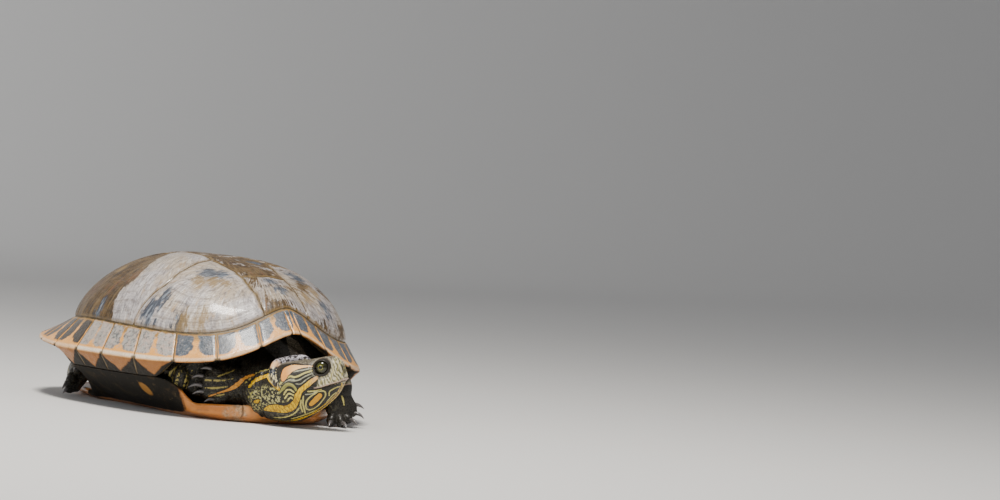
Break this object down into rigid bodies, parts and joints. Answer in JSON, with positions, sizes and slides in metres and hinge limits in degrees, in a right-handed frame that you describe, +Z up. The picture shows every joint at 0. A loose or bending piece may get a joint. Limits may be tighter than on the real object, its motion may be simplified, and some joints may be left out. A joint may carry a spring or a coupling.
{
  "type": "red-eared slider turtle",
  "caption": "Life-size red-eared slider turtle lying on its belly shell, head half drawn in and turned to its left, one forefoot on the ground.",
  "frame": {"origin": "on the flat of the belly shell, under the middle of the upper shell", "axes": "+Z up; the animal faces -Y; its left side is +X"},
  "size_m": [0.1882, 0.2794, 0.1033],
  "materials": {
    "carapace": "wet horn, semi-gloss, with growth lines",
    "plastron": "smooth horn, satin, orange with dark smudges",
    "skin": "damp scaly skin, dark with yellow and orange stripes",
    "eye": "clear wet gloss over a green iris",
    "claw": "smooth horn"
  },
  "bodies": {
    "root": {"carapace": "carapace", "claw_front_left_1": "claw", "claw_front_left_2": "claw", "claw_front_left_3": "claw", "claw_front_left_4": "claw", "claw_front_left_5": "claw", "claw_front_right_1": "claw", "claw_front_right_2": "claw", "claw_front_right_3": "claw", "claw_front_right_4": "claw", "claw_front_right_5": "claw", "claw_hind_left_1": "claw", "claw_hind_left_2": "claw", "claw_hind_left_3": "claw", "claw_hind_left_4": "claw", "claw_hind_right_1": "claw", "claw_hind_right_2": "claw", "claw_hind_right_3": "claw", "claw_hind_right_4": "claw", "eye_left": "eye", "eye_right": "eye", "head": "skin", "leg_front_left": "skin", "leg_front_right": "skin", "leg_hind_left": "skin", "leg_hind_right": "skin", "neck": "skin", "plastron": "plastron", "tail": "skin", "trunk": "skin"}
  },
  "joints": []
}
